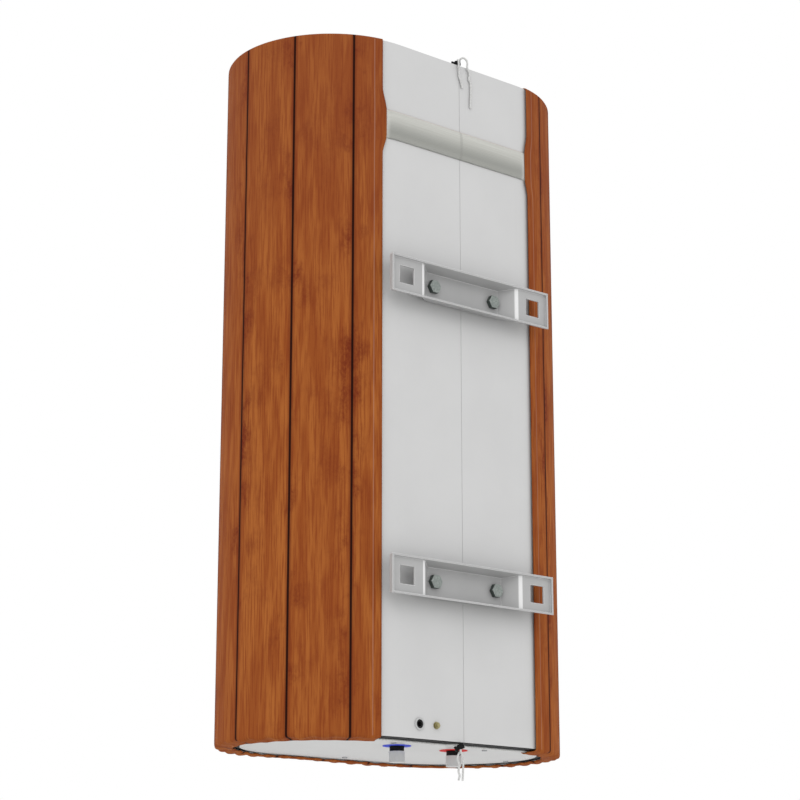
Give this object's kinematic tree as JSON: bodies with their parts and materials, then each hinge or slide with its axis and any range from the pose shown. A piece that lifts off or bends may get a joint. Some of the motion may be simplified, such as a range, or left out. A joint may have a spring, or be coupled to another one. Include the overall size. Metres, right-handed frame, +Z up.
{
  "type": "tank water heater",
  "caption": "Flat wall-hung electric storage water heater: stadium-plan steel casing over two upright tanks, wall brackets behind, pipe stubs below, in a plank-print textile cover",
  "frame": {"origin": "on the wall plane, midway between the two hanging holes of the upper bracket", "axes": "+X across the wall, to the right of someone facing the wall; +Y into the wall; +Z up"},
  "size_m": [0.518, 0.3408, 1.0176],
  "materials": {
    "casing_enamel": "satin",
    "tank_enamel": "satin",
    "bracket_zinc": "satin",
    "rail_steel": "matte",
    "bright_steel": "satin",
    "bolt_steel": "satin",
    "copper": "satin",
    "brass": "satin",
    "magnesium": "matte",
    "black_plastic": "matte",
    "white_plastic": "satin",
    "grey_plastic": "matte",
    "sleeve_grey": "satin",
    "ivory_plastic": "matte",
    "blue_plastic": "satin",
    "red_plastic": "satin",
    "smoked_window": "gloss",
    "board_green": "satin",
    "seal_rubber": "matte",
    "lead_insulation": "matte",
    "foam": "matte",
    "plank_textile": "matte",
    "strap_elastic": "matte",
    "string_braid": "matte"
  },
  "bodies": {
    "heater": {"casing_shell": "casing_enamel", "top_cap": "casing_enamel", "base_ring": "black_plastic", "bottom_cover": "white_plastic", "bottom_cover_screws": "bright_steel", "insulation_foam": "foam", "cold_tank": "tank_enamel", "hot_tank": "tank_enamel", "tank_link_pipes": "rail_steel", "tank_tie_plate": "bracket_zinc", "cold_inlet_pipe": "bright_steel", "hot_outlet_pipe": "bright_steel", "cold_ring": "blue_plastic", "hot_ring": "red_plastic", "stub_collars": "black_plastic", "stub_nipples": "sleeve_grey", "stub_plugs": "white_plastic", "support_rails": "rail_steel", "rail_bosses": "rail_steel", "upper_bracket": "bracket_zinc", "lower_bracket": "bracket_zinc", "bracket_bolts": "bolt_steel", "cable_gland": "grey_plastic", "gland_nut": "grey_plastic", "gland_grommet": "seal_rubber", "earth_screw": "brass", "earth_washer": "brass", "element_flanges": "bright_steel", "flange_gaskets": "seal_rubber", "flange_bolts": "bolt_steel", "heating_elements": "copper", "anode_rods": "magnesium", "sensor_pocket": "bright_steel", "thermostat": "ivory_plastic", "thermal_cutout": "ivory_plastic", "terminal_block": "white_plastic", "internal_wiring": "lead_insulation", "control_panel": "black_plastic", "display_window": "smoked_window", "control_board": "board_green", "knob_encoder": "bright_steel", "button_switch": "black_plastic", "textile_cover": "plank_textile", "cover_strap": "strap_elastic", "bottom_drawstring": "string_braid", "top_drawstring": "string_braid", "bottom_lock_barrel": "black_plastic", "top_lock_barrel": "black_plastic", "bottom_tail_a": "string_braid", "bottom_tail_b": "string_braid", "top_tail_a": "string_braid", "top_tail_b": "string_braid"},
    "knob": {"temperature_knob": "bright_steel"},
    "button": {"power_button": "bright_steel"},
    "bottom_plunger": {"bottom_lock_plunger": "black_plastic"},
    "top_plunger": {"top_lock_plunger": "black_plastic"}
  },
  "joints": [
    {"name": "knob_turn", "type": "hinge", "parent": "heater", "child": "knob", "pos_m": [-0.052, -0.3263, -0.495], "axis": [0, 1, 0], "range_deg": [0, 270]},
    {"name": "button_press", "type": "slide", "parent": "heater", "child": "button", "axis": [0, 1, 0], "range_m": [0, 0.0015], "stiffness_N_per_m": 800, "springref_m": -0.001},
    {"name": "bottom_lock_press", "type": "slide", "parent": "heater", "child": "bottom_plunger", "axis": [-0.6885, 0.5777, 0.4384], "range_m": [0, 0.0025], "stiffness_N_per_m": 500, "springref_m": -0.002},
    {"name": "top_lock_press", "type": "slide", "parent": "heater", "child": "top_plunger", "axis": [-0.7586, 0.6365, 0.1392], "range_m": [0, 0.0025], "stiffness_N_per_m": 500, "springref_m": -0.002}
  ]
}
